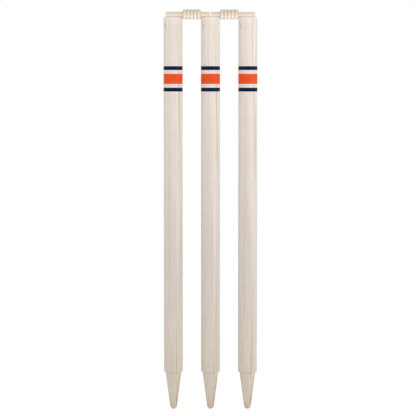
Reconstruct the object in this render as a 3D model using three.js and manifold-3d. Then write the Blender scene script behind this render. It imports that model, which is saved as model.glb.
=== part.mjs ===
// Cricket stumps: three turned ash stumps planted in a row, with two bails resting in the
// grooves across their crowns and three bands of coloured tape round each stump.
// Millimetres. +Z is up, X runs along the row of stumps, and -Y is the front.
// The origin is on the ground line, on the middle stump's axis, so the spikes reach below it.
import * as THREE from 'three';
import { mergeVertices } from 'three/addons/utils/BufferGeometryUtils.js';
import Module from 'manifold-3d';

const wasm = await Module();
wasm.setup();

// Row of stumps
const STUMP_SPACING = 74.4; // axis to axis
const STUMP_HEIGHT = 711; // ground line to the top of the crown
const STUMP_DIAMETER = 38;

// Spike, turned from the same length of wood
const SPIKE_LENGTH = 76;
const SPIKE_TIP_RADIUS = 7;
const SHOULDER_WIDTH = 2.8; // flat ring round the spike's root, which beds on the turf
const SHOULDER_CHAMFER = 0.5; // outer edge of that ring

// Crown, a low dome that rolls over into the side
const CROWN_DOME_RADIUS = 95;
const CROWN_EDGE_RADIUS = 4;

// Groove across the crown, in which the bails lie
const GROOVE_DEPTH = 1.8; // below the top of the crown
const GROOVE_CLEARANCE = 0.3; // all round the bail's spigot

// Bail
const SPIGOT_DIAMETER = 10.4;
const SPIGOT_CHAMFER = 0.7;
const BAIL_END_INSET = 4.7; // from the outer stump's far side to the end of the bail
const BAIL_MEETING_GAP = 2.2; // between the two bails, over the middle stump
const BARREL_DIAMETER = 20.8;
const BARREL_END_CLEARANCE = 0.5; // barrel's end to the side of a stump
const BEAD_COUNT = 5;
const BEAD_DEPTH = 2; // crest of a bead to the valley beside it
const COVE_RADIUS = 2.4; // hollow where a spigot runs into the barrel

// Bands of tape, wrapped round the shaft
const TAPE_THICKNESS = 0.25;
const TAPE_CLEARANCE = 0.05; // glue line between the tape and the wood
const ORANGE_BAND_WIDTH = 20;
const NAVY_BAND_WIDTH = 7.5;
const BAND_INTERVAL = 7.5; // bare wood between two bands
const BANDS_BELOW_CROWN = 124; // top of the crown to the middle of the orange band

// Facets of the round surfaces
const STUMP_FACETS = 48;
const BAIL_FACETS = 32;
const ARC_STEPS = 6;
const COVE_STEPS = 4;
const BEAD_STEPS = 6;

const QUARTER_TURN = Math.PI / 2;
const CUT_OVERRUN = 5; // how far a cutter runs past what it cuts
const MERGE_DISTANCE = 0.001; // vertices closer than this are one

// Sizes that follow from the ones above
const shaftRadius = STUMP_DIAMETER / 2;
const spikeRootRadius = shaftRadius - SHOULDER_WIDTH;
const spigotRadius = SPIGOT_DIAMETER / 2;
const barrelRadius = BARREL_DIAMETER / 2;
const valleyRadius = barrelRadius - BEAD_DEPTH;
const coveRadius = Math.min(COVE_RADIUS, valleyRadius - spigotRadius);
const grooveRadius = spigotRadius + GROOVE_CLEARANCE;
const bailAxisHeight = STUMP_HEIGHT - GROOVE_DEPTH + grooveRadius;
const barrelLength = STUMP_SPACING - STUMP_DIAMETER - 2 * BARREL_END_CLEARANCE;
const shortSpigotLength = shaftRadius + BARREL_END_CLEARANCE - BAIL_MEETING_GAP / 2;
const longSpigotLength = STUMP_DIAMETER + BARREL_END_CLEARANCE - BAIL_END_INSET;
const bailLength = shortSpigotLength + barrelLength + longSpigotLength;
const bandsCentreHeight = STUMP_HEIGHT - BANDS_BELOW_CROWN;
const navyBandOffset = (ORANGE_BAND_WIDTH + NAVY_BAND_WIDTH) / 2 + BAND_INTERVAL;

const ash = new THREE.MeshStandardMaterial({ color: '#e6dccf', roughness: 0.55, metalness: 0 });
const orangeTape = new THREE.MeshStandardMaterial({ color: '#e4511f', roughness: 0.4, metalness: 0 });
const navyTape = new THREE.MeshStandardMaterial({ color: '#101f48', roughness: 0.4, metalness: 0 });

// A point of a turned profile, x out from the axis and y along it.
function point(x, y) {
  return new THREE.Vector2(x, y);
}

function arc(centreX, centreY, radius, startAngle, endAngle, steps) {
  const points = [];
  for (let i = 0; i <= steps; i++) {
    const angle = startAngle + ((endAngle - startAngle) * i) / steps;
    points.push(point(centreX + radius * Math.cos(angle), centreY + radius * Math.sin(angle)));
  }
  return points;
}

// Closed mesh to a solid that can be cut, and back again.
function toSolid(geometry) {
  const bare = geometry.clone();
  bare.deleteAttribute('normal');
  bare.deleteAttribute('uv');
  const merged = mergeVertices(bare, MERGE_DISTANCE);
  return new wasm.Manifold(
    new wasm.Mesh({
      numProp: 3,
      vertProperties: merged.attributes.position.array,
      triVerts: new Uint32Array(merged.index.array),
    }),
  );
}

function toGeometry(solid) {
  const mesh = solid.getMesh();
  const geometry = new THREE.BufferGeometry();
  geometry.setAttribute('position', new THREE.BufferAttribute(mesh.vertProperties, mesh.numProp));
  geometry.setIndex(new THREE.BufferAttribute(mesh.triVerts, 1));
  geometry.computeVertexNormals();
  return geometry;
}

// Spike: a ball tip that runs smoothly into a cone, up to the shoulder's inner edge.
function spikeProfile() {
  const ballDepth = SPIKE_LENGTH - SPIKE_TIP_RADIUS; // ball's centre below the ground line
  const reach = Math.hypot(spikeRootRadius, ballDepth);
  const coneSlope = Math.acos(SPIKE_TIP_RADIUS / reach) - Math.atan2(ballDepth, spikeRootRadius);
  const ball = arc(0, -ballDepth, SPIKE_TIP_RADIUS, -QUARTER_TURN, -coneSlope, ARC_STEPS);
  ball[0].x = 0;
  return [...ball, point(spikeRootRadius, 0)];
}

// Crown: the edge round is tangent to the side of the shaft and to the dome.
function crownProfile() {
  const edgeCentreX = shaftRadius - CROWN_EDGE_RADIUS;
  const domeToEdge = CROWN_DOME_RADIUS - CROWN_EDGE_RADIUS;
  const domeCentreY = STUMP_HEIGHT - CROWN_DOME_RADIUS;
  const tangentAngle = Math.acos(edgeCentreX / domeToEdge);
  const edgeCentreY = domeCentreY + domeToEdge * Math.sin(tangentAngle);
  const edge = arc(edgeCentreX, edgeCentreY, CROWN_EDGE_RADIUS, 0, tangentAngle, ARC_STEPS);
  const dome = arc(0, domeCentreY, CROWN_DOME_RADIUS, tangentAngle, QUARTER_TURN, ARC_STEPS);
  dome[ARC_STEPS].x = 0;
  return [...edge, ...dome.slice(1)];
}

// One stump standing along +Y: spike, flat shoulder, shaft and grooved crown.
function stumpGeometry() {
  const profile = [
    ...spikeProfile(),
    point(shaftRadius - SHOULDER_CHAMFER, 0),
    point(shaftRadius, SHOULDER_CHAMFER),
    ...crownProfile(),
  ];
  const turned = new THREE.LatheGeometry(profile, STUMP_FACETS);
  const cutterLength = STUMP_DIAMETER + 2 * CUT_OVERRUN;
  const cutter = new THREE.CylinderGeometry(grooveRadius, grooveRadius, cutterLength, BAIL_FACETS);
  cutter.rotateZ(QUARTER_TURN);
  cutter.translate(0, bailAxisHeight, 0);
  return toGeometry(toSolid(turned).subtract(toSolid(cutter)));
}

// Row of round beads from one end of the barrel to the other, each bead one arc.
function beadsProfile(start) {
  const pitch = barrelLength / BEAD_COUNT;
  const halfPitch = pitch / 2;
  const beadRadius = (halfPitch ** 2 + BEAD_DEPTH ** 2) / (2 * BEAD_DEPTH);
  const sweep = Math.asin(halfPitch / beadRadius);
  const points = [];
  for (let bead = 0; bead < BEAD_COUNT; bead++) {
    const centreY = start + (bead + 0.5) * pitch;
    const crest = arc(barrelRadius - beadRadius, centreY, beadRadius, -sweep, sweep, BEAD_STEPS);
    points.push(...(bead === 0 ? crest : crest.slice(1)));
  }
  return points;
}

// One bail along +Y, from the end of its short spigot to the end of its long one.
function bailGeometry() {
  const barrelStart = shortSpigotLength;
  const barrelEnd = barrelStart + barrelLength;
  const coveX = spigotRadius + coveRadius;
  const innerCove = arc(coveX, barrelStart - coveRadius, coveRadius, Math.PI, QUARTER_TURN, COVE_STEPS);
  const outerCove = arc(coveX, barrelEnd + coveRadius, coveRadius, -QUARTER_TURN, -Math.PI, COVE_STEPS);
  const profile = [
    point(0, 0),
    point(spigotRadius - SPIGOT_CHAMFER, 0),
    point(spigotRadius, SPIGOT_CHAMFER),
    ...innerCove,
    ...beadsProfile(barrelStart),
    ...outerCove,
    point(spigotRadius, bailLength - SPIGOT_CHAMFER),
    point(spigotRadius - SPIGOT_CHAMFER, bailLength),
    point(0, bailLength),
  ];
  return new THREE.LatheGeometry(profile, BAIL_FACETS);
}

// A band of tape along +Y, centred on its own middle.
function bandGeometry(width) {
  const inner = shaftRadius + TAPE_CLEARANCE;
  const outer = inner + TAPE_THICKNESS;
  const profile = [
    point(inner, -width / 2),
    point(outer, -width / 2),
    point(outer, width / 2),
    point(inner, width / 2),
    point(inner, -width / 2),
  ];
  return new THREE.LatheGeometry(profile, STUMP_FACETS);
}

// A turned shape stood upright on its stump's axis.
function standingMesh(name, geometry, material, height) {
  const mesh = new THREE.Mesh(geometry, material);
  mesh.name = name;
  mesh.rotation.x = QUARTER_TURN;
  mesh.position.z = height;
  return mesh;
}

// A bail lies with its short spigot over the middle stump; side is -1 for left and 1 for right.
function lyingBail(name, side) {
  const mesh = new THREE.Mesh(bailGeometry(), ash);
  mesh.name = name;
  mesh.rotation.z = -side * QUARTER_TURN;
  mesh.position.set((side * BAIL_MEETING_GAP) / 2, 0, bailAxisHeight);
  return mesh;
}

// A stump and its three bands of tape, about the stump's own axis.
function bandedStump(place) {
  const group = new THREE.Group();
  const bands = [
    { name: 'upper_navy_band_', width: NAVY_BAND_WIDTH, material: navyTape, offset: navyBandOffset },
    { name: 'orange_band_', width: ORANGE_BAND_WIDTH, material: orangeTape, offset: 0 },
    { name: 'lower_navy_band_', width: NAVY_BAND_WIDTH, material: navyTape, offset: -navyBandOffset },
  ];
  group.add(standingMesh('stump_' + place, stumpGeometry(), ash, 0));
  for (const band of bands) {
    const height = bandsCentreHeight + band.offset;
    group.add(standingMesh(band.name + place, bandGeometry(band.width), band.material, height));
  }
  return group;
}

const wicket = new THREE.Group();
const places = ['left', 'middle', 'right'];
places.forEach((place, i) => {
  const stump = bandedStump(place);
  stump.position.x = (i - 1) * STUMP_SPACING;
  wicket.add(stump);
});
wicket.add(lyingBail('bail_left', -1));
wicket.add(lyingBail('bail_right', 1));

export default wicket;
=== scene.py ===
# %% [markdown]
# # Cricket stumps
# A wicket is five turned pieces of ash: three stumps that stand in the turf on pointed spikes, and
# two bails that lie loose in the grooves across their crowns. Here each stump also wears three
# bands of coloured tape.
#
# Such a row could be drawn from plain cylinders, or sculpted. The real pieces come off a lathe,
# though, so this lesson works like a turner: it draws half an outline, spins it about an axis, cuts
# the groove, and then gives the wood a grain that runs through the whole solid.
#
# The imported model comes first. It fixes every size and place, so nothing later needs fitting.

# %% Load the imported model
import math

import bpy
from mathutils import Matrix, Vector


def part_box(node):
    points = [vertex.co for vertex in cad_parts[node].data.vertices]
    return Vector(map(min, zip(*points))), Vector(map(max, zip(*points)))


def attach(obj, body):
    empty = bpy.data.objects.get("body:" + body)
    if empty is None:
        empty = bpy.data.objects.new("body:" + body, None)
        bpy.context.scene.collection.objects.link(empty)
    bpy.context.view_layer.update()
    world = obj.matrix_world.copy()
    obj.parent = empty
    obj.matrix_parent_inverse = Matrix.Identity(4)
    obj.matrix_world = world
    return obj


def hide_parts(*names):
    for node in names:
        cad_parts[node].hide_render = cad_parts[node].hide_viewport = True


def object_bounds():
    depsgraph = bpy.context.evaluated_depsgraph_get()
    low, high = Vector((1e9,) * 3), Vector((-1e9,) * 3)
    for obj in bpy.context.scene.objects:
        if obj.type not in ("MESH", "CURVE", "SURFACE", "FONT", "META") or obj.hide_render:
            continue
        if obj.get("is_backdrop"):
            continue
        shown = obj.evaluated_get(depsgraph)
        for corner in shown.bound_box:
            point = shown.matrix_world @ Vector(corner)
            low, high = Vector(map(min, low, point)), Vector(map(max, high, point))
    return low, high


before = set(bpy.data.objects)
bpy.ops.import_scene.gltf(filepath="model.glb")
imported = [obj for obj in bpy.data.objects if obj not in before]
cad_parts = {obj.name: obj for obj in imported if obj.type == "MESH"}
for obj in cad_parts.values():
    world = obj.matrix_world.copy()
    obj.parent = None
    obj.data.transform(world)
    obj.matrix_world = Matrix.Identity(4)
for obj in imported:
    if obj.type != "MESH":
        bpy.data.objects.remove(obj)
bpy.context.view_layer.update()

# %% [markdown]
# ## Units and small helpers
# Blender works in metres and a turner in millimetres, so one value turns the one into the other.
#
# An operator acts on whatever is selected. By hand one would click the piece before each step. Here
# each step clears the selection, picks its piece, and only then opens it for editing, so that none
# works on the wrong one.

# %% Units and selection
MM = 0.001
QUARTER_TURN = math.pi / 2
FULL_TURN = 2 * math.pi


def deselect_all():
    if bpy.context.mode != "OBJECT":
        bpy.ops.object.mode_set(mode="OBJECT")
    bpy.ops.object.select_all(action="DESELECT")


def pick(piece):
    """Makes a piece the only one selected."""
    deselect_all()
    piece.select_set(True)
    bpy.context.view_layer.objects.active = piece


def open_mesh(piece):
    """Opens a piece in edit mode with all of it selected."""
    pick(piece)
    bpy.ops.object.mode_set(mode="EDIT")
    bpy.ops.mesh.select_mode(type="VERT")
    bpy.ops.mesh.select_all(action="SELECT")


def close_mesh():
    bpy.ops.object.mode_set(mode="OBJECT")


deselect_all()
print(len(bpy.context.selected_objects), "objects are selected")

# %% [markdown]
# ## The camera
# The photograph is nearly square on. Its stumps stay parallel from top to bottom, which takes a
# long lens from far away, and the front of each shoulder hangs a little below its sides, so the
# camera looks slightly down. A shifted lens could hold the lines parallel too, but isn't needed at
# this distance.

# %% Camera
CAMERA_DISTANCE = 3.6
CAMERA_PITCH = math.radians(4)  # below level
CAMERA_LENS = 155.7  # in millimetres, on a sensor 36 wide
AIM_X = -4.9 * MM
AIM_HEIGHT = 329.3 * MM

camera_place = (
    AIM_X,
    -CAMERA_DISTANCE * math.cos(CAMERA_PITCH),
    AIM_HEIGHT + CAMERA_DISTANCE * math.sin(CAMERA_PITCH),
)
bpy.ops.object.camera_add(location=camera_place, rotation=(QUARTER_TURN - CAMERA_PITCH, 0, 0))
camera = bpy.context.object
camera.name = "camera"
camera.data.lens = CAMERA_LENS
bpy.context.scene.camera = camera
print("the camera stands", round(camera.location.z, 3), "m above the ground line")

# %% [markdown]
# ## Sizes from the frame
# The boxes of the CAD pieces say how thick the shafts are, how deep the spikes go and where the
# bails lie. All of that could be typed in again, but then the two models could drift apart. Only
# what a box can't tell, such as a radius inside a shape, is written out, where it is first needed.

# %% Sizes
stump_low, stump_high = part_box("stump_middle")
bail_low, bail_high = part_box("bail_right")
right_low, right_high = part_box("stump_right")

STUMP_HEIGHT = 711 * MM  # ground line to the top of the crown
shaft_radius = (stump_high.x - stump_low.x) / 2
spike_length = -stump_low.z
stump_spacing = (right_low.x + right_high.x) / 2

barrel_radius = (bail_high.z - bail_low.z) / 2
bail_height = (bail_high.z + bail_low.z) / 2
bail_start = bail_low.x
bail_length = bail_high.x - bail_low.x
print("shaft radius", round(shaft_radius / MM, 2), "mm, spacing", round(stump_spacing / MM, 2), "mm")
print("bail", round(bail_length / MM, 2), "mm long,", round(bail_height / MM, 2), "mm up")

# %% [markdown]
# ## Points of an outline
# Half of a turned piece's outline says all about its shape. It could be a curve that is dragged
# into place by its handles. Here the sizes are known, so a list of points is truer: each is a
# distance from the axis and a place along the axis. Rounded stretches come from one arc function,
# so that they stay true arcs at any fineness.

# %% Arc
def arc(centre_out, centre_along, radius, start, end, steps):
    """Points on an arc, as (out, along) pairs; an angle of zero points straight out."""
    angles = [start + (end - start) * step / steps for step in range(steps + 1)]
    return [(centre_out + radius * math.cos(a), centre_along + radius * math.sin(a)) for a in angles]


print("a quarter circle in two steps:", arc(0, 0, 1, 0, QUARTER_TURN, 2))

# %% [markdown]
# ## A lathe
# A turned piece is one outline swept round an axis. It could be a Screw modifier on a curve, or a
# cylinder whose rings are moved one by one. The way chosen here merges a small plane into one
# point, extrudes that point along the outline, and spins the chain through a full turn, as the
# lathe does.
#
# The spin leaves a seam of double points and may leave the faces pointing in, so both are mended.

# %% Lathe
STARTING_PLANE = 1 * MM
SAME_POINT = 0.001 * MM


def draw_chain(name, points):
    """One point, extruded from place to place."""
    deselect_all()
    bpy.ops.mesh.primitive_plane_add(size=STARTING_PLANE, location=points[0])
    chain = bpy.context.object
    chain.name = name
    bpy.ops.object.transform_apply(location=True, rotation=True, scale=True)
    open_mesh(chain)
    bpy.ops.mesh.merge(type="CENTER")
    for here, there in zip(points, points[1:]):
        step = Vector(there) - Vector(here)
        bpy.ops.mesh.extrude_vertices_move(TRANSFORM_OT_translate={"value": step})
    close_mesh()
    return chain


def turn(name, outline, facets, lying=False):
    """Spins an outline about Z, or about X for a piece that lies."""
    if lying:
        points = [(along, 0, out) for out, along in outline]
        axis = (1, 0, 0)
    else:
        points = [(out, 0, along) for out, along in outline]
        axis = (0, 0, 1)
    piece = draw_chain(name, points)
    open_mesh(piece)
    bpy.ops.mesh.spin(steps=facets, angle=FULL_TURN, center=(0, 0, 0), axis=axis)
    bpy.ops.mesh.select_all(action="SELECT")
    bpy.ops.mesh.remove_doubles(threshold=SAME_POINT)
    bpy.ops.mesh.normals_make_consistent(inside=False)
    close_mesh()
    return piece


print("points closer than", SAME_POINT / MM, "mm become one after a spin")

# %% [markdown]
# ## The outline of a stump
# From the bottom up: the spike ends in a small ball, because a true point would split, and widens
# as a straight cone. A flat shoulder beds on the turf. The shaft runs straight to the crown, where
# it rolls over a small radius into a low dome.
#
# A ball, a cone, a cylinder and a dome joined together would show a line at each joint. In one
# outline the cone leaves the ball where the two are tangent, and the roll meets the dome likewise.

# %% Outline of a stump
SPIKE_TIP_RADIUS = 7 * MM
SHOULDER_WIDTH = 2.8 * MM
SHOULDER_ROUND = 0.5 * MM
CROWN_DOME_RADIUS = 95 * MM
CROWN_EDGE_RADIUS = 4 * MM
TIP_STEPS = 12
ROUND_STEPS = 3
CROWN_STEPS = 10


def spike_outline():
    root = shaft_radius - SHOULDER_WIDTH
    ball_depth = spike_length - SPIKE_TIP_RADIUS
    reach = math.hypot(root, ball_depth)
    cone_slope = math.acos(SPIKE_TIP_RADIUS / reach) - math.atan2(ball_depth, root)
    ball = arc(0, -ball_depth, SPIKE_TIP_RADIUS, -QUARTER_TURN, -cone_slope, TIP_STEPS)
    return ball + [(root, 0)]


def shoulder_outline():
    centre_out = shaft_radius - SHOULDER_ROUND
    return arc(centre_out, SHOULDER_ROUND, SHOULDER_ROUND, -QUARTER_TURN, 0, ROUND_STEPS)


def crown_outline():
    edge_out = shaft_radius - CROWN_EDGE_RADIUS
    dome_to_edge = CROWN_DOME_RADIUS - CROWN_EDGE_RADIUS
    dome_centre = STUMP_HEIGHT - CROWN_DOME_RADIUS
    tangent = math.acos(edge_out / dome_to_edge)
    edge_height = dome_centre + dome_to_edge * math.sin(tangent)
    edge = arc(edge_out, edge_height, CROWN_EDGE_RADIUS, 0, tangent, CROWN_STEPS)
    dome = arc(0, dome_centre, CROWN_DOME_RADIUS, tangent, QUARTER_TURN, CROWN_STEPS)
    return edge + dome[1:]


spike = spike_outline()
shoulder = shoulder_outline()
crown = crown_outline()
print("points: spike", len(spike), "and shoulder", len(shoulder), "and crown", len(crown))

# %% [markdown]
# ## Turning a stump
# The shaft is a plain cylinder, so its two ends would be enough to draw it. Faces a millimetre wide
# and two thirds of a metre long shade badly, though, so rings at equal steps divide it. The middle
# stump comes first, because its axis passes through the origin, where the lathe turns.

# %% Turn the middle stump
STUMP_FACETS = 128
SHAFT_RINGS = 16


def shaft_outline(start, end):
    rings = range(1, SHAFT_RINGS)
    return [(shaft_radius, start + (end - start) * ring / SHAFT_RINGS) for ring in rings]


shaft = shaft_outline(shoulder[-1][1], crown[0][1])
stump_outline = spike + shoulder + shaft + crown
middle_stump = turn("turned_stump_middle", stump_outline, STUMP_FACETS)
print("a stump's outline has", len(stump_outline), "points")

# %% [markdown]
# ## The groove across the crown
# The bails lie in a shallow round groove, cut with a cove cutter after turning. The faces of the
# crown could be pushed down by hand, which never gives a true round. A Boolean modifier cuts as the
# tool does, with a cylinder of the spigot's radius and a little play.

# %% Cut the groove
SPIGOT_RADIUS = 5.2 * MM
GROOVE_PLAY = 0.1 * MM
CUTTER_OVERRUN = 5 * MM
CUTTER_FACETS = 96
groove_radius = SPIGOT_RADIUS + GROOVE_PLAY


def cut_groove(piece):
    deselect_all()
    bpy.ops.mesh.primitive_cylinder_add(
        vertices=CUTTER_FACETS,
        radius=groove_radius,
        depth=2 * (shaft_radius + CUTTER_OVERRUN),
        location=(0, 0, bail_height),
        rotation=(0, QUARTER_TURN, 0),
    )
    cutter = bpy.context.object
    pick(piece)
    cut = piece.modifiers.new("groove", "BOOLEAN")
    cut.operation = "DIFFERENCE"
    cut.solver = "EXACT"
    cut.object = cutter
    bpy.ops.object.modifier_apply(modifier=cut.name)
    bpy.data.objects.remove(cutter)


cut_groove(middle_stump)
groove_depth = STUMP_HEIGHT - bail_height + groove_radius
print("the groove is", round(groove_depth / MM, 2), "mm deep in the middle of the crown")

# %% [markdown]
# ## The groove's lip
# The cut leaves a knife edge, which is sanded off a real stump at once. A Bevel modifier limited by
# angle would round the shoulder's edges too. So the lip is found by its place, as the edges with
# the groove on one side only, and only these are bevelled.

# %% Round the groove's lip
GROOVE_LIP = 0.15 * MM
GROOVE_TOLERANCE = 0.01 * MM


def in_groove(mesh, face):
    corners = [mesh.vertices[number].co for number in face.vertices]
    away = [math.hypot(corner.y, corner.z - bail_height) for corner in corners]
    return all(abs(distance - groove_radius) < GROOVE_TOLERANCE for distance in away)


def select_groove_lip(piece):
    """Selects the edges that have the groove on one side and the crown on the other."""
    mesh = piece.data
    sides = {}
    for face in mesh.polygons:
        grooved = in_groove(mesh, face)
        for key in face.edge_keys:
            sides.setdefault(key, []).append(grooved)
    pick(piece)
    bpy.ops.object.mode_set(mode="EDIT")
    bpy.ops.mesh.select_mode(type="EDGE")
    bpy.ops.mesh.select_all(action="DESELECT")
    bpy.ops.object.mode_set(mode="OBJECT")
    found = 0
    for edge in mesh.edges:
        edge.select = sorted(sides.get(edge.key, [])) == [False, True]
        found += edge.select
    return found


lip_edges = select_groove_lip(middle_stump)
bpy.ops.object.mode_set(mode="EDIT")
bpy.ops.mesh.bevel(offset=GROOVE_LIP, segments=ROUND_STEPS, clamp_overlap=True)
close_mesh()
print("the groove's lip has", lip_edges, "edges")

# %% [markdown]
# ## Three stumps
# The stumps come off the lathe alike, so the other two could be linked copies that share one mesh.
# They get meshes of their own instead, moved in edit mode, so that each object stays at the origin
# with its place in its mesh, as the export expects.
#
# Each finished piece is shaded smooth except at its sharp edges and tied to the body that it moves
# with, and the CAD node that it stands for is hidden.

# %% Copy the stump along the row
SMOOTH_ANGLE = math.radians(30)


def open_copy(piece, name):
    """Opens a copy that has a mesh of its own."""
    pick(piece)
    bpy.ops.object.duplicate(linked=False)
    twin = bpy.context.object
    twin.name = name
    open_mesh(twin)
    return twin


def copy_along(piece, name, distance):
    twin = open_copy(piece, name)
    bpy.ops.transform.translate(value=(distance, 0, 0))
    close_mesh()
    return twin


def tie_to_frame(piece, body, node):
    pick(piece)
    bpy.ops.object.shade_smooth_by_angle(angle=SMOOTH_ANGLE)
    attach(piece, body)
    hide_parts(node)
    print(piece.name, "has", len(piece.data.polygons), "faces")


stumps = {
    "left": copy_along(middle_stump, "turned_stump_left", -stump_spacing),
    "middle": middle_stump,
    "right": copy_along(middle_stump, "turned_stump_right", stump_spacing),
}
for place, stump in stumps.items():
    tie_to_frame(stump, place + "_stump", "stump_" + place)

# %% [markdown]
# ## The beads of a barrel
# The middle of a bail is a thicker barrel, turned here into five round beads. They could be five
# spheres pushed onto a rod. As five equal arcs in one outline they meet in clean valleys, and the
# bail stays one closed piece. The width and the depth of a bead fix its arc.

# %% Outline of the beads
BEAD_COUNT = 5
BEAD_DEPTH = 2 * MM
BEAD_STEPS = 12
BARREL_END_PLAY = 0.5 * MM
barrel_length = stump_spacing - 2 * (shaft_radius + BARREL_END_PLAY)
bead_width = barrel_length / BEAD_COUNT


def bead_outline(start):
    """Equal arcs in a row, from one end of the barrel to the other."""
    half = bead_width / 2
    radius = (half**2 + BEAD_DEPTH**2) / (2 * BEAD_DEPTH)
    sweep = math.asin(half / radius)
    points = []
    for bead in range(BEAD_COUNT):
        centre = start + (bead + 0.5) * bead_width
        crest = arc(barrel_radius - radius, centre, radius, -sweep, sweep, BEAD_STEPS)
        points += crest if bead == 0 else crest[1:]
    return points


print("barrel", round(barrel_length / MM, 2), "mm long, beads", round(bead_width / MM, 2), "mm wide")

# %% [markdown]
# ## The outline of a bail
# A bail is turned from one short piece: a short spigot for the middle stump, the barrel, and a long
# spigot for the outer stump. Each end of the barrel runs into its spigot in a small cove. The ends
# are cut square and their edges eased.
#
# Spigots and barrel could be separate cylinders, but the coves are what tell a turned piece from a
# glued one, so all of it is one outline again. The far spigot is the near one mirrored, at its own
# length.

# %% Outline of a bail
COVE_RADIUS = 2.4 * MM
END_ROUND = 0.7 * MM
COVE_STEPS = 8
short_spigot = shaft_radius + BARREL_END_PLAY - bail_start
long_spigot = bail_length - short_spigot - barrel_length


def spigot_outline(length):
    """From the middle of the square end to the top of the cove."""
    end_out = SPIGOT_RADIUS - END_ROUND
    cove_out = SPIGOT_RADIUS + COVE_RADIUS
    cove_along = length - COVE_RADIUS
    end = arc(end_out, END_ROUND, END_ROUND, -QUARTER_TURN, 0, ROUND_STEPS)
    cove = arc(cove_out, cove_along, COVE_RADIUS, 2 * QUARTER_TURN, QUARTER_TURN, COVE_STEPS)
    return [(0, 0)] + end + cove


def bail_outline():
    near = spigot_outline(short_spigot)
    far = [(out, bail_length - along) for out, along in reversed(spigot_outline(long_spigot))]
    return near + bead_outline(short_spigot) + far


print("spigots of", round(short_spigot / MM, 2), "and", round(long_spigot / MM, 2), "mm")

# %% [markdown]
# ## Two bails from one outline
# The bails are alike, each with its long spigot on an outer stump. The left one could be turned
# again from a mirrored outline. Here it is a copy of the right one, with a mesh of its own, scaled
# by minus one along the row. That turns its faces inside out, so its normals are worked out again
# straight away.

# %% Turn the bails and lay them in the grooves
BAIL_FACETS = 96

right_bail = turn("turned_bail_right", bail_outline(), BAIL_FACETS, lying=True)
open_mesh(right_bail)
bpy.ops.transform.translate(value=(bail_start, 0, bail_height))
close_mesh()

left_bail = open_copy(right_bail, "turned_bail_left")
bpy.ops.transform.resize(value=(-1, 1, 1), center_override=(0, 0, 0))
bpy.ops.mesh.normals_make_consistent(inside=False)
close_mesh()

bails = {"left": left_bail, "right": right_bail}
for place, bail in bails.items():
    tie_to_frame(bail, place + "_bail", "bail_" + place)

# %% [markdown]
# ## Bands of tape
# Each band is a strip of vinyl wound once round the shaft, with its end lapped over its start at
# the back. A plain ring would do from the front, but from behind a real band shows the step of that
# lap.
#
# The strip starts as a chain of points along a circle that climbs by one thickness where it meets
# its own start. The chain is then extruded upwards to the width of the band.

# %% Wind one strip of tape
TAPE_THICKNESS = 0.12 * MM
GLUE_LINE = 0.02 * MM
LAP_LENGTH = 7 * MM
CLIMB_LENGTH = 3 * MM
LAP_PLAY = 0.01 * MM
TAPE_STEPS = 144
tape_radius = shaft_radius + GLUE_LINE + TAPE_THICKNESS


def smooth_step(share):
    share = min(max(share, 0), 1)
    return share * share * (3 - 2 * share)


def tape_path():
    """Once round from the back, and on over the strip's own start."""
    lap_angle = LAP_LENGTH / tape_radius
    climb_angle = CLIMB_LENGTH / tape_radius
    points = []
    for step in range(TAPE_STEPS + 1):
        turned = (FULL_TURN + lap_angle) * step / TAPE_STEPS
        climbed = smooth_step((turned - FULL_TURN + climb_angle) / climb_angle)
        out = tape_radius + climbed * (TAPE_THICKNESS + LAP_PLAY)
        angle = QUARTER_TURN - lap_angle / 2 + turned
        points.append((out * math.cos(angle), out * math.sin(angle), 0))
    return points


def wind_tape(name, bottom, width, middle):
    tape = draw_chain(name, tape_path())
    open_mesh(tape)
    bpy.ops.mesh.extrude_edges_move(TRANSFORM_OT_translate={"value": (0, 0, width)})
    bpy.ops.mesh.select_all(action="SELECT")
    bpy.ops.transform.translate(value=(middle, 0, bottom))
    bpy.ops.mesh.normals_make_consistent(inside=False)
    close_mesh()
    return tape


print("a strip is", round((FULL_TURN * tape_radius + LAP_LENGTH) / MM, 1), "mm long")

# %% [markdown]
# ## Nine bands
# The nine CAD bands give the height, the width and the middle of each strip. A strip could get its
# thickness by extruding it along its normals. Solidify does the same with one number, here towards
# the wood. A fine bevel then eases the cut edges, so that they catch the light as on real tape.

# %% Wind all nine bands
BAND_SLOTS = {
    "upper_navy_band": "navy_tape",
    "orange_band": "orange_tape",
    "lower_navy_band": "navy_tape",
}
TAPE_EDGE_ROUND = 0.04 * MM
TAPE_EDGE_SEGMENTS = 2
TOWARDS_THE_WOOD = -1


def thicken(tape):
    pick(tape)
    wall = tape.modifiers.new("thickness", "SOLIDIFY")
    wall.thickness = TAPE_THICKNESS
    wall.offset = TOWARDS_THE_WOOD
    bpy.ops.object.modifier_apply(modifier=wall.name)
    edge = tape.modifiers.new("edge", "BEVEL")
    edge.width = TAPE_EDGE_ROUND
    edge.segments = TAPE_EDGE_SEGMENTS
    edge.limit_method = "ANGLE"
    edge.angle_limit = SMOOTH_ANGLE
    bpy.ops.object.modifier_apply(modifier=edge.name)


bands = []
for place in stumps:
    for band, slot in BAND_SLOTS.items():
        node = band + "_" + place
        low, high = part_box(node)
        tape = wind_tape("wound_" + node, low.z, high.z - low.z, (low.x + high.x) / 2)
        thicken(tape)
        tie_to_frame(tape, place + "_stump", node)
        bands.append((tape, slot))

# %% [markdown]
# ## Building materials
# A material is a small machine of nodes. It could be wired by hand in the Shader Editor, where each
# step shows at once. A short script is easier to change and to read again. So one helper starts a
# material, one sets or wires a node's inputs, and one adds a node with its inputs in one call.

# %% Add a node
def new_material(name):
    material = bpy.data.materials.new(name)
    material.use_nodes = True
    return material, material.node_tree, material.node_tree.nodes["Principled BSDF"]


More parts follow.
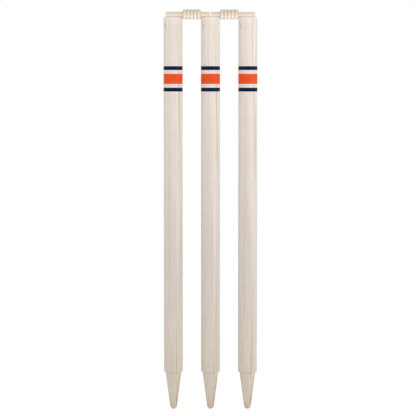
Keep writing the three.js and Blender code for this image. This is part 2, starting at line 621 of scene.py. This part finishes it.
def wire(tree, node, inputs):
    """Gives a node its inputs, each either a value or another node's output."""
    for name, value in inputs.items():
        if isinstance(value, bpy.types.NodeSocket):
            tree.links.new(value, node.inputs[name])
        else:
            node.inputs[name].default_value = value


def add(tree, kind, inputs=None, **settings):
    made = tree.nodes.new(kind)
    for name, value in settings.items():
        setattr(made, name, value)
    wire(tree, made, inputs or {})
    return made


print("the nodes are those of Blender", bpy.app.version_string)

# %% [markdown]
# ## Sums, mixes and ramps
# A few nodes come up again and again: a sum or a product, one colour laid over another, and a ramp
# from one number to the next. Node groups could hold them ready. Short functions do the same, and
# their nodes stay plain to see in the editor.

# %% Sums, mixes and ramps
MIX_SOCKETS = (0, 6, 7)  # the share and the two colours
MIX_RESULT = 2


def maths(tree, operation, *values):
    made = add(tree, "ShaderNodeMath", dict(enumerate(values)), operation=operation)
    return made.outputs["Value"]


def times(tree, one, other):
    return maths(tree, "MULTIPLY", one, other)


def vectors(tree, operation, *values):
    made = add(tree, "ShaderNodeVectorMath", dict(enumerate(values)), operation=operation)
    return made.outputs["Value" if operation == "LENGTH" else "Vector"]


def parts(tree, vector):
    return add(tree, "ShaderNodeSeparateXYZ", {"Vector": vector}).outputs


def resize(tree, vector, size):
    made = add(tree, "ShaderNodeVectorMath", {0: vector, "Scale": size}, operation="SCALE")
    return made.outputs["Vector"]


def total(tree, *values):
    """Adds up any number of values."""
    result = values[0]
    for value in values[1:]:
        result = maths(tree, "ADD", result, value)
    return result


def blend(tree, share, below, above, mode="MIX"):
    """Lays one colour over another."""
    inputs = dict(zip(MIX_SOCKETS, (share, below, above)))
    made = add(tree, "ShaderNodeMix", inputs, data_type="RGBA", blend_type=mode)
    return made.outputs[MIX_RESULT]


def ramp(tree, value, stops):
    """Maps a number through stops of (place, level)."""
    made = add(tree, "ShaderNodeValToRGB", {"Fac": value})
    elements = made.color_ramp.elements
    while len(elements) < len(stops):
        elements.new(0)
    for element, (place, level) in zip(elements, stops):
        element.position = place
        element.color = (level, level, level, 1)
    return made.outputs["Color"]


print("a share and two colours go into sockets", MIX_SOCKETS, "of a Mix node")

# %% [markdown]
# ## Colours
# Colours are given as sRGB, as a paint program shows them, but the nodes work on linear light.
# Blender's colour picker turns the one into the other by itself. A script has to do it, so each
# colour passes through the standard curve first.

# %% Colours
LINEAR_BELOW = 0.04045


def linear(level):
    return level / 12.92 if level <= LINEAR_BELOW else ((level + 0.055) / 1.055) ** 2.4


def colour(red, green, blue):
    """A colour from levels of 0 to 255."""
    return tuple(linear(level / 255) for level in (red, green, blue)) + (1,)


print("a middle grey of 128 is", round(linear(128 / 255), 3), "in linear light")

# %% [markdown]
# ## Ash, as a solid
# Ash is a pale wood with straight grain. Each year it lays down a ring that starts with open pores
# and ends in dense, slightly darker wood. Down a turned side the rings show as lines, and on an end
# as arcs.
#
# A flat picture of grain wrapped round the piece would smear at the crown and the spike. Here the
# grain fills space and the surface cuts through it, so sides, cone, groove and ends all agree.
# Noise, drawn out along the grain until a speck becomes a fibre, makes the small differences.

# %% Noise along the grain
NOISE_ROUGHNESS = 0.55
# Each layer has the width and the length of its specks, its detail, and its shift.
FIBRE_LAYERS = {
    "slow wander": (40 * MM, 900 * MM, 1.0, 0),
    "quick wander": (9 * MM, 260 * MM, 2.0, 3),
    "broad band": (5 * MM, 600 * MM, 2.0, 7),
    "streak": (2.4 * MM, 70 * MM, 2.0, 9),
    "fibre": (0.8 * MM, 26 * MM, 3.0, 11),
    "tan patch": (6 * MM, 130 * MM, 2.0, 31),
    "warm patch": (6 * MM, 130 * MM, 2.0, 37),
    "bail wave": (5 * MM, 60 * MM, 2.0, 0),
}


def grain_space(tree, centre, turned):
    """Object coordinates centred on a piece, with the grain along Z."""
    place = add(tree, "ShaderNodeTexCoord").outputs["Object"]
    moved = vectors(tree, "SUBTRACT", place, centre)
    return add(tree, "ShaderNodeMapping", {"Vector": moved, "Rotation": turned}).outputs["Vector"]


def squeezed(tree, grain, across, along):
    """Space in which a speck 'across' wide and 'along' long is one unit each way."""
    return vectors(tree, "MULTIPLY", grain, (1 / across, 1 / across, 1 / along))


def fibre_noise(tree, grain, layer, seed):
    """Noise of one layer; the seed tells one piece's wood from another's."""
    across, along, detail, shift = FIBRE_LAYERS[layer]
    inputs = {
        "Vector": squeezed(tree, grain, across, along),
        "W": seed + shift,
        "Scale": 1.0,
        "Detail": detail,
        "Roughness": NOISE_ROUGHNESS,
    }
    return add(tree, "ShaderNodeTexNoise", inputs, noise_dimensions="4D").outputs["Fac"]


def centred(tree, noise, swing):
    """Turns noise of 0 to 1 into a swing either side of zero."""
    return times(tree, maths(tree, "SUBTRACT", noise, 0.5), swing)


print(len(FIBRE_LAYERS), "layers of noise, the finest", FIBRE_LAYERS["fibre"][0] / MM, "mm wide")

# %% [markdown]
# ## Rings
# A stump is far thinner than its tree, so the tree's centre, the pith, lies well outside it. The
# Wave texture draws rings too, but all alike. Here every point asks how many rings away the pith
# is, and noise bends that distance, so the lines wander as in a real tree. Good and poor years come
# in spells, which widen or narrow a few rings in a row.

# %% Rings
RING_WIDTH = 2.1 * MM
RINGS_A_SPELL = 3
SLOW_SWING = 6 * MM
QUICK_SWING = 1.2 * MM
SPELL_SWING = 1.2  # in rings
ACROSS_ONLY = (1, 1, 0)


def ring_count(tree, grain, pith, seed):
    """How many rings lie between a point and the pith."""
    offset = vectors(tree, "SUBTRACT", grain, pith)
    away = vectors(tree, "LENGTH", vectors(tree, "MULTIPLY", offset, ACROSS_ONLY))
    slow = centred(tree, fibre_noise(tree, grain, "slow wander", seed), SLOW_SWING)
    quick = centred(tree, fibre_noise(tree, grain, "quick wander", seed), QUICK_SWING)
    even = maths(tree, "DIVIDE", total(tree, away, slow, quick), RING_WIDTH)
    place = maths(tree, "MULTIPLY_ADD", even, 1 / RINGS_A_SPELL, seed)
    inputs = {"W": place, "Scale": 1.0, "Detail": 1.0}
    spell = add(tree, "ShaderNodeTexNoise", inputs, noise_dimensions="1D").outputs["Fac"]
    return total(tree, even, centred(tree, spell, SPELL_SWING))


print("about", round(2 * shaft_radius / RING_WIDTH), "rings from side to side of a stump")

# %% [markdown]
# ## Early and late wood
# Within a ring, early wood is pale and full of pores, and late wood is dense and a shade darker. A
# hard step between them would look printed. Two ramps from one ring to the next say how much there
# is of each, and a number drawn for each ring gives it a tone of its own.

# %% Early and late wood
# Both tables run from the start of a ring to its end.
LATE_SHARES = ((0.0, 0.3), (0.1, 0.0), (0.35, 0.1), (0.9, 1.0), (1.0, 0.3))
EARLY_SHARES = ((0.0, 0.6), (0.05, 1.0), (0.22, 1.0), (0.38, 0.0), (0.95, 0.0), (1.0, 0.6))


def ash_rings(tree, grain, pith, seed):
    """Late wood, early wood and a tone for each whole ring."""
    rings = ring_count(tree, grain, pith, seed)
    within = maths(tree, "FRACT", rings)
    which = maths(tree, "FLOOR", rings)
    tone = add(tree, "ShaderNodeTexWhiteNoise", {"W": which}, noise_dimensions="1D")
    late = ramp(tree, within, LATE_SHARES)
    early = ramp(tree, within, EARLY_SHARES)
    return late, early, tone.outputs["Value"]


print("a ring has", len(LATE_SHARES), "stops of late wood and", len(EARLY_SHARES), "of early wood")

# %% [markdown]
# ## Pores and end grain
# The pores of ash are open tubes. On a side they are cut lengthwise and show as short dark dashes,
# and on an end as dots. Real holes would take millions of faces. A Voronoi texture, stretched along
# the grain, gives one pore to each of its cells, and the early wood decides which of them show.
#
# End grain drinks more of the seal and turns darker, the more so the more the surface faces along
# the grain.

# %% Pores and end grain
PORE_WIDTH = 0.45 * MM
PORE_LENGTH = 8 * MM
PORE_SHARES = ((0.0, 1.0), (0.24, 1.0), (0.36, 0.0))  # from the middle of a cell outwards
END_SHARES = ((0.45, 0.0), (1.0, 1.0))  # from facing across the grain to facing along it


def ash_pores(tree, grain, early):
    place = squeezed(tree, grain, PORE_WIDTH, PORE_LENGTH)
    cells = add(tree, "ShaderNodeTexVoronoi", {"Vector": place, "Scale": 1.0})
    return times(tree, ramp(tree, cells.outputs["Distance"], PORE_SHARES), early)


def end_grain(tree, turned):
    """One where the surface is cut square across the grain."""
    normal = add(tree, "ShaderNodeTexCoord").outputs["Normal"]
    inputs = {"Vector": normal, "Rotation": turned}
    facing = add(tree, "ShaderNodeMapping", inputs, vector_type="NORMAL").outputs["Vector"]
    return ramp(tree, maths(tree, "ABSOLUTE", parts(tree, facing)["Z"]), END_SHARES)


print("a pore is", PORE_WIDTH / MM, "mm wide and", PORE_LENGTH / MM, "mm long")

# %% [markdown]
# ## Tone and relief
# Besides its rings, wood changes in tone at every scale, from broad bands to single fibres. One
# layer of noise with high detail would tie them all together, so there are four, each with a swing
# of its own. A dark streak loses most in the blue, so it turns tan and not grey.
#
# Sanding leaves the hard fibres proud and the pores open, too finely for geometry, so that is bump.

# %% Tone and relief
RING_SWING = 0.1
BAND_SWING = 0.16
STREAK_SWING = 0.24
FIBRE_SWING = 0.24
STREAK_SHARES = (0.87, 1.0, 1.3)  # how much of a swing goes to red, green and blue
FIBRE_RISE_SHARE = 0.35
LATE_RISE_SHARE = 0.1
PORE_RISE_SHARE = -1.0
RELIEF = 0.06 * MM
RELIEF_STRENGTH = 0.5


def ash_tone(tree, wood, tone, fibre, grain, seed):
    """Lightens and darkens the wood in bands, streaks and fibres."""
    swing = total(
        tree,
        centred(tree, tone, RING_SWING),
        centred(tree, fibre_noise(tree, grain, "broad band", seed), BAND_SWING),
        centred(tree, fibre_noise(tree, grain, "streak", seed), STREAK_SWING),
        centred(tree, fibre, FIBRE_SWING),
    )
    return vectors(tree, "MULTIPLY_ADD", wood, resize(tree, STREAK_SHARES, swing), wood)


def bump(tree, height, strength, distance):
    inputs = {"Height": height, "Strength": strength, "Distance": distance}
    return add(tree, "ShaderNodeBump", inputs).outputs["Normal"]


def ash_relief(tree, fibre, late, pores):
    layers = ((fibre, FIBRE_RISE_SHARE), (late, LATE_RISE_SHARE), (pores, PORE_RISE_SHARE))
    height = total(tree, *[times(tree, layer, share) for layer, share in layers])
    return bump(tree, height, RELIEF_STRENGTH, RELIEF)


print("the relief stands for heights of about", RELIEF / MM, "mm")

# %% [markdown]
# ## One piece of ash
# Stumps and bails are the same wood, so one function makes the ash for all of them. Separate
# materials for side and end would meet in a hard line at the crown's edge. Here the rings come
# first, then the tone, the pores and the end grain, each laid over what is there. Marks that belong
# to one kind of piece, such as a stain, and painted shade and light are handed in as shares and
# tints, and laid on last.

# %% Ash
LATE_TINT_SHARE = 0.7
PORE_TINT_SHARE = 0.5
WOOD_ROUGHNESS = 0.52
PORE_ROUGHNESS = 0.2  # added to the wood's own
END_ROUGHNESS = 0.1


def ash(name, centre, turned, pith, shades, end_share, seed, marks_and_painted_shade):
    material, tree, surface = new_material(name)
    grain = grain_space(tree, centre, turned)
    late, early, tone = ash_rings(tree, grain, pith, seed)
    fibre = fibre_noise(tree, grain, "fibre", seed)
    pores = ash_pores(tree, grain, early)
    ends = end_grain(tree, turned)

    wood = blend(tree, times(tree, late, LATE_TINT_SHARE), shades["pale"], shades["late"])
    wood = ash_tone(tree, wood, tone, fibre, grain, seed)
    wood = blend(tree, times(tree, pores, PORE_TINT_SHARE), wood, shades["pore"])
    wood = blend(tree, times(tree, ends, end_share), wood, shades["end"], "MULTIPLY")
    for tint_share, tint in marks_and_painted_shade(tree, grain, seed):
        wood = blend(tree, tint_share, wood, tint, "MULTIPLY")

    rough_pores = times(tree, pores, PORE_ROUGHNESS)
    rough = total(tree, WOOD_ROUGHNESS, rough_pores, times(tree, ends, END_ROUGHNESS))
    relief = ash_relief(tree, fibre, late, pores)
    wire(tree, surface, {"Base Color": wood, "Roughness": rough, "Normal": relief})
    print(name, "has", len(tree.nodes), "nodes")
    return material


print("roughness", WOOD_ROUGHNESS, "on plain wood, up to", PORE_ROUGHNESS, "more in a pore")

# %% [markdown]
# ## Marks in the wood
# No real wood is without marks, and those in the photograph tell its stumps from plastic. They
# could be painted on an image wrapped round the piece, which would end at a seam. Here each mark is
# a share between zero and one that fades with distance from a line, a spot or a height, so it goes
# through the wood as the grain does.

# %% Shares of a mark
# These shares also carry painted shade and painted light, by height, by spot and by the way a
# surface faces.
SPOT_CORE_SHARE = 0.2


def fade(tree, value, near, far):
    """One at 'near', zero at 'far', and smooth between them."""
    inputs = {"Value": value, "From Min": far, "From Max": near}
    made = add(tree, "ShaderNodeMapRange", inputs, interpolation_type="SMOOTHSTEP")
    return made.outputs["Result"]


def spot(tree, grain, centre, reach):
    """A soft spot with its own reach along each axis."""
    offset = vectors(tree, "SUBTRACT", grain, centre)
    away = vectors(tree, "LENGTH", vectors(tree, "DIVIDE", offset, reach))
    return fade(tree, away, SPOT_CORE_SHARE, 1.0)


print("a spot is full in the inner", SPOT_CORE_SHARE, "of its reach and then fades")

# %% [markdown]
# ## The tan ring and the warm side
# One tan ring runs down the right of each stump, nearer the axis at both ends than in the middle. A
# straight line would look ruled, and noise alone would never put it in the right place. So two
# tables give its place and its strength from the spike's tip to the crown, and noise breaks it into
# patches. A fainter and wider layer warms the left side.

# %% Tan ring and warm side
TAN_TINT = colour(232, 219, 190)
TAN_WIDTH = 2 * MM
WARM_TINT = colour(254, 250, 244)
WARM_PLACE = -17 * MM
WARM_WIDTH = 6 * MM
PATCH_SHARES = ((0.35, 0.4), (0.6, 1.0))  # from noise to strength
# Both tables run from the spike's tip to the crown, the first in shares of the shaft's radius.
TAN_PLACE_SHARES = (
    (0.0, 0.33), (0.12, 0.34), (0.18, 0.41), (0.32, 0.7), (0.5, 0.78), (0.64, 0.76),
    (0.72, 0.69), (0.79, 0.635), (0.9, 0.5), (0.95, 0.41), (1.0, 0.45),
)
TAN_STRENGTH_SHARES = (
    (0.0, 0.8), (0.035, 0.8), (0.055, 0.3), (0.09, 0.3), (0.1, 1.0), (0.125, 1.0), (0.17, 0.5),
    (0.26, 0.2), (0.36, 0.2), (0.55, 0.15), (0.61, 0.4), (0.66, 0.9), (0.8, 1.0), (0.88, 0.4),
    (0.94, 0.7), (1.0, 0.5),
)


def ring_layer(tree, grain, line, width, layer, seed):
    """A thin layer that stands at 'line' to the right of the axis, in patches along its length."""
    away = maths(tree, "ABSOLUTE", maths(tree, "SUBTRACT", parts(tree, grain)["X"], line))
    patches = ramp(tree, fibre_noise(tree, grain, layer, seed), PATCH_SHARES)
    return times(tree, fade(tree, away, 0.0, width), patches)


def tan_ring(tree, grain, seed):
    above_tip = maths(tree, "ADD", parts(tree, grain)["Z"], spike_length)
    from_tip = maths(tree, "DIVIDE", above_tip, STUMP_HEIGHT + spike_length)
    line = times(tree, ramp(tree, from_tip, TAN_PLACE_SHARES), shaft_radius)
    layer = ring_layer(tree, grain, line, TAN_WIDTH, "tan patch", seed)
    return times(tree, layer, ramp(tree, from_tip, TAN_STRENGTH_SHARES))


widest = max(share for place, share in TAN_PLACE_SHARES)
print("the tan ring is at most", round(widest * shaft_radius / MM, 1), "mm right of the axis")

# %% [markdown]
# ## From the crown to the ground
# The stumps grow a little dimmer and yellower towards the ground. The dimming is painted shade, for
# light that falls off towards the floor. A single gradient would spread that evenly. Three of them,
# each full at one height and gone at another, paint shade on the lower half, yellow the lowest part
# and paint a darker, browner shade on the end of the spike.

# %% Tints by height
TIP_SHADE_END_SHARE = 0.6  # of the spike's length below the ground, where the brown is gone
# Each tint has the height where it is full, the height where it is gone, and its colour.
HEIGHT_TINTS_AND_SHADE = {
    # Painted shade: the lower half darker, as the light falls off towards the floor.
    "painted shade on the lower half": (150 * MM, 580 * MM, colour(240, 240, 240)),
    "yellow near the ground": (-spike_length, 180 * MM, colour(252, 249, 240)),
    # Painted shade: the end of the spike darker and browner.
    "painted shade on the tip": (-spike_length, -TIP_SHADE_END_SHARE * spike_length, colour(244, 240, 230)),
}


def height_marks_and_shade(tree, grain):
    height = parts(tree, grain)["Z"]
    return [(fade(tree, height, full, gone), tint) for full, gone, tint in HEIGHT_TINTS_AND_SHADE.values()]


print(len(HEIGHT_TINTS_AND_SHADE), "tints by height:", ", ".join(HEIGHT_TINTS_AND_SHADE))

# %% [markdown]
# ## Spots and streaks
# The small marks are a rusty fleck under the crown, pale and dim streaks down the shaft, a warm
# patch above the shoulder, and a stain near the spike's tip. Two more spots are painted light and
# painted shade: the upper front lighter, and one side of the spike darker, as the light falls. More
# noise would scatter such marks anywhere. Each is placed one by one instead, as a soft spot with its
# own reach along each axis, and a streak is just a long spot.

# %% Marks, painted light and painted shade on a stump
# Each spot has its middle and its reach in millimetres, and its tint. A tint above 255 lightens.
STUMP_SPOTS = {
    "rusty fleck": ((-14.6, -12, 690), (1.8, 9, 9), colour(232, 216, 210)),
    # Painted light: the upper front lighter, as the light falls.
    "painted light at the top": ((-4, -18, 690), (13, 20, 120), colour(259, 259, 258)),
    "pale left side": ((-14, -12, 220), (4, 16, 360), colour(262, 261, 257)),
    "pale streak": ((11.5, -14, 320), (7, 20, 150), colour(263, 263, 263)),
    "dim streak": ((3, -19, 240), (5, 20, 150), colour(249, 249, 249)),
    "low pale streak": ((-6, -18, 70), (4.5, 20, 100), colour(262, 262, 264)),
    "warm patch": ((8, -16, 90), (10, 20, 130), colour(252, 251, 246)),
    # Painted shade: one side of the spike darker, as the light falls.
    "painted shade on the spike's side": ((12, -2, -34), (8, 14, 50), colour(234, 229, 220)),
    "stain near the tip": ((6.8, -6, -60), (3.2, 12, 16), colour(232, 226, 212)),
}


def in_metres(lengths):
    return tuple(length * MM for length in lengths)


def stump_marks_and_shade(tree, grain, seed):
    warm = ring_layer(tree, grain, WARM_PLACE, WARM_WIDTH, "warm patch", seed)
    marks_and_painted_shade = height_marks_and_shade(tree, grain)
    marks_and_painted_shade += [(tan_ring(tree, grain, seed), TAN_TINT), (warm, WARM_TINT)]
    for middle, reach, tint in STUMP_SPOTS.values():
        marks_and_painted_shade.append((spot(tree, grain, in_metres(middle), in_metres(reach)), tint))
    return marks_and_painted_shade


print(len(STUMP_SPOTS), "spots on each stump")

# %% [markdown]
# ## Painted shade on the upper side of a bail
# The bails are painted tan where they face up and left palest underneath: this is painted shade,
# the upper side darker as the light falls. A gradient by height would treat the thick barrel and
# the thin spigots unlike, so the painted shade goes by the direction that the surface faces. A
# little noise keeps its border from looking ruled.

# %% Painted shade on a bail
# Painted shade: where a bail faces up it is darker and tanner, as the light falls.
BAIL_TOP_PAINTED_SHADE = colour(218, 211, 203)
BAIL_WAVE_SWING = 0.4
PAINTED_SHADE_FULL_FROM = 0.35  # how far up the surface faces where the tan is full
PAINTED_SHADE_GONE_AT = -1.0


def bail_painted_shade(tree, grain, seed):
    upward = parts(tree, add(tree, "ShaderNodeTexCoord").outputs["Normal"])["Z"]
    wave = centred(tree, fibre_noise(tree, grain, "bail wave", seed), BAIL_WAVE_SWING)
    return [(fade(tree, total(tree, upward, wave), PAINTED_SHADE_FULL_FROM, PAINTED_SHADE_GONE_AT), BAIL_TOP_PAINTED_SHADE)]


full_angle = math.degrees(math.asin(PAINTED_SHADE_FULL_FROM))
print("the tan is full where a bail faces", round(full_angle), "degrees or more above level")

# %% [markdown]
# ## Wood for each piece
# All five pieces could share one material, but then the same rings would run on from one stump to
# the next, as if they stood in one block. Each gets its own copy of the wood, centred on its own
# axis, with noise of its own and the pith to one side. The bails are paler and warmer, and their
# grain runs along their length, so their wood is turned on its side.

# %% Wood on the turned pieces
STANDING = (0, 0, 0)
LYING = (0, QUARTER_TURN, 0)
STUMP_SHADES = {
    "pale": colour(229, 220, 212),
    "late": colour(214, 202, 190),
    "pore": colour(190, 174, 156),
    "end": colour(225, 208, 188),
}
BAIL_SHADES = {
    "pale": colour(254, 247, 237),
    "late": colour(245, 234, 220),
    "pore": colour(190, 168, 142),
    "end": colour(220, 196, 170),
}
STUMP_END_SHARE = 0.2
BAIL_END_SHARE = 0.8
PITHS = {
    "left": (-72 * MM, 52 * MM, 0),
    "middle": (-78 * MM, 47 * MM, 0),
    "right": (-70 * MM, 56 * MM, 0),
}
FIRST_BAIL_SEED = 20

for number, (place, stump) in enumerate(stumps.items()):
    name = "ash_stump_" + place
    centre = ((number - 1) * stump_spacing, 0, 0)
    pith = PITHS[place]
    wood = ash(name, centre, STANDING, pith, STUMP_SHADES, STUMP_END_SHARE, number, stump_marks_and_shade)
    stump.data.materials.append(wood)

for seed, (place, bail) in enumerate(bails.items(), FIRST_BAIL_SEED):
    name = "ash_bail_" + place
    centre = (0, 0, bail_height)
    pith = PITHS[place]
    wood = ash(name, centre, LYING, pith, BAIL_SHADES, BAIL_END_SHARE, seed, bail_painted_shade)
    bail.data.materials.append(wood)

# %% [markdown]
# ## Vinyl tape
# The tape is smooth, with a soft and weak shine and a faint orange peel, and handling leaves it a
# little duller in places. One flat colour would look like paint on a screen. Two layers of noise
# are enough: a coarse one for wear, in colour and roughness, and a fine one for the peel, in bump.

# %% Tape
ORANGE = colour(228, 82, 38)
NAVY = colour(0, 21, 58)
TAPE_SPECULAR = 0.08
WEAR_SCALE = 120.0
WEAR_DETAIL = 4.0
WEAR_SWING = 0.12
PEEL_SCALE = 900.0
PEEL_DETAIL = 1.0
PEEL_HEIGHT = 0.05 * MM
PEEL_STRENGTH = 0.25
SMOOTHEST = 0.28
DULLER_BY = 0.25


def tape_noise(tree, scale, detail):
    place = add(tree, "ShaderNodeTexCoord").outputs["Object"]
    inputs = {"Vector": place, "Scale": scale, "Detail": detail}
    return add(tree, "ShaderNodeTexNoise", inputs).outputs["Fac"]


def vinyl(name, shade):
    material, tree, surface = new_material(name)
    worn = tape_noise(tree, WEAR_SCALE, WEAR_DETAIL)
    level = maths(tree, "ADD", centred(tree, worn, WEAR_SWING), 1.0)
    rough = maths(tree, "MULTIPLY_ADD", worn, DULLER_BY, SMOOTHEST)
    peel = bump(tree, tape_noise(tree, PEEL_SCALE, PEEL_DETAIL), PEEL_STRENGTH, PEEL_HEIGHT)
    worn_shade = resize(tree, shade[:3], level)
    wire(tree, surface, {"Base Color": worn_shade, "Roughness": rough, "Normal": peel})
    wire(tree, surface, {"Specular IOR Level": TAPE_SPECULAR})
    return material


TAPES = {"orange_tape": vinyl("orange_vinyl", ORANGE), "navy_tape": vinyl("navy_vinyl", NAVY)}
for tape, slot in bands:
    tape.data.materials.append(TAPES[slot])
print("the tape's roughness runs from", SMOOTHEST, "to", round(SMOOTHEST + DULLER_BY, 2))

# %% [markdown]
# ## Floor and background
# The photograph has a pure white ground. Flooding a floor with light until it clips would bleach
# the wood too. Instead the floor is part plain white surface, which keeps a faint shadow, and part
# glow, which shows to the camera and in reflections but lights nothing.

# %% Floor
FLOOR_RADIUS = 7.0
FLOOR_SIDES = 96
FLOOR_GAP = 0.2 * MM
FLOOR_SHADE = colour(246, 246, 246)
FLOOR_ROUGHNESS = 0.9
FLOOR_GLOW_SHARE = 0.75
FLOOR_LIT_LEVEL = 0.72  # how bright the lamps and the world make the bare floor
WHITE = (1, 1, 1, 1)
floor_glow = (1 - (1 - FLOOR_GLOW_SHARE) * FLOOR_LIT_LEVEL) / FLOOR_GLOW_SHARE


def seen_directly(tree):
    """One for rays from the camera, off gloss or through glass, and zero for light."""
    path = add(tree, "ShaderNodeLightPath").outputs
    seen = maths(tree, "MAXIMUM", path["Is Camera Ray"], path["Is Glossy Ray"])
    return maths(tree, "MAXIMUM", seen, path["Is Transmission Ray"])


def floor_material():
    material, tree, surface = new_material("pale_floor")
    wire(tree, surface, {"Base Color": FLOOR_SHADE, "Roughness": FLOOR_ROUGHNESS})
    glow = add(tree, "ShaderNodeEmission", {"Color": WHITE, "Strength": floor_glow})
    share = times(tree, seen_directly(tree), FLOOR_GLOW_SHARE)
    inputs = {0: share, 1: surface.outputs["BSDF"], 2: glow.outputs["Emission"]}
    mixed = add(tree, "ShaderNodeMixShader", inputs).outputs["Shader"]
    wire(tree, tree.nodes["Material Output"], {"Surface": mixed})
    return material


deselect_all()
bpy.ops.mesh.primitive_circle_add(
    vertices=FLOOR_SIDES,
    radius=FLOOR_RADIUS,
    fill_type="NGON",
    location=(0, 0, -spike_length - FLOOR_GAP),
)
floor = bpy.context.object
floor.name = "floor"
floor.data.materials.append(floor_material())
floor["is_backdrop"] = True
print("the floor glows at", round(floor_glow, 3))

# %% [markdown]
# ## The world's light
# The wood in the photograph is lit almost evenly, as in a white studio. A ring of big lamps could
# stand for that, at the price of noise and of many reflections. An even world gives the same light
# for nothing, and it does most of the work here. What the camera sees of it is plain white,
# whatever its strength.

# %% World
WORLD_LEVEL = 0.74

world = bpy.data.worlds.new("studio")
bpy.context.scene.world = world
world.use_nodes = True
tree = world.node_tree
lighting = tree.nodes["Background"]
wire(tree, lighting, {"Color": WHITE, "Strength": WORLD_LEVEL})
white = add(tree, "ShaderNodeBackground", {"Color": WHITE, "Strength": 1.0})
inputs = {0: seen_directly(tree), 1: lighting.outputs["Background"], 2: white.outputs["Background"]}
mixed = add(tree, "ShaderNodeMixShader", inputs)
wire(tree, tree.nodes["World Output"], {"Surface": mixed.outputs["Shader"]})
print("the world gives", WORLD_LEVEL, "of full white from every side")

# %% [markdown]
# ## Lamps at the sides
# Two large round lamps stand at the sides and shape the shafts, the right one about twice as strong
# as the left, as the photograph has it. One lamp in front would make a cylinder look flat, and a
# small one would draw a hard line of shine down each shaft.

# %% Lamps at the sides
SIDE_LAMP_PLACE = (2.25, -1.3, 1.1)  # the left lamp stands at its mirror image
SIDE_LAMP_TARGET = (0, 0, 0.35)
SIDE_LAMP_SIZE = 1.2
RIGHT_POWER = 22.5
LEFT_POWER = 10.2


def place_lamp(kind, name, place, target, power):
    deselect_all()
    aim = (Vector(target) - Vector(place)).to_track_quat("-Z", "Y").to_euler()
    bpy.ops.object.light_add(type=kind, location=place, rotation=aim)
    lamp = bpy.context.object
    lamp.name = name
    lamp.data.energy = power
    return lamp


out, front, up = SIDE_LAMP_PLACE
for name, side, power in (("right_lamp", 1, RIGHT_POWER), ("left_lamp", -1, LEFT_POWER)):
    lamp = place_lamp("AREA", name, (side * out, front, up), SIDE_LAMP_TARGET, power)
    lamp.data.shape = "DISK"
    lamp.data.size = SIDE_LAMP_SIZE
print("the right lamp is", round(RIGHT_POWER / LEFT_POWER, 1), "times as strong as the left")

# %% [markdown]
# ## Light on the tops
# With the side lamps alone the beads go dark underneath. More of everything would bleach the
# shafts, so two spots light the tops alone. One shines down on the crowns from in front. The other
# is squeezed flat by its own scale, which turns its cone into a slit of light at the height of the
# bails. Together with the world, the lamps light a surface at about its written colour.

# %% Light on the tops
TOP_PLACE = (-0.3, -2.1, 1.85)
TOP_TARGET = (0, 0, 0.74)
TOP_POWER = 12.5
TOP_ANGLE = math.radians(15)
TOP_SIZE = 0.15

SLIT_PLACE = (-0.2, -1.8, 0.86)
SLIT_TARGET = (0, 0, 0.7115)
SLIT_POWER = 18.0
SLIT_ANGLE = math.radians(24)
SLIT_SIZE = 0.01
SLIT_HEIGHT_SHARE = 0.026


def place_spot(name, place, target, power, angle, size):
    """A spot whose pool of light fades all the way from its middle to its rim."""
    lamp = place_lamp("SPOT", name, place, target, power)
    lamp.data.spot_size = angle
    lamp.data.spot_blend = 1.0
    lamp.data.shadow_soft_size = size
    return lamp


place_spot("top_light", TOP_PLACE, TOP_TARGET, TOP_POWER, TOP_ANGLE, TOP_SIZE)
slit = place_spot("bail_light", SLIT_PLACE, SLIT_TARGET, SLIT_POWER, SLIT_ANGLE, SLIT_SIZE)
slit.scale = (1, SLIT_HEIGHT_SHARE, 1)
slit.visible_camera = False
print("the slit is", round(1 / SLIT_HEIGHT_SHARE), "times as wide as it is high")

# %% [markdown]
# ## Finish
# The Standard view transform shows a colour as it was written. Blender's usual one softens the
# highlights and would grey the white ground. The box of the dressed pieces is printed last.

# %% Finish
bpy.context.scene.view_settings.view_transform = "Standard"
low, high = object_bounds()
print("the visual box runs from", tuple(low), "to", tuple(high))
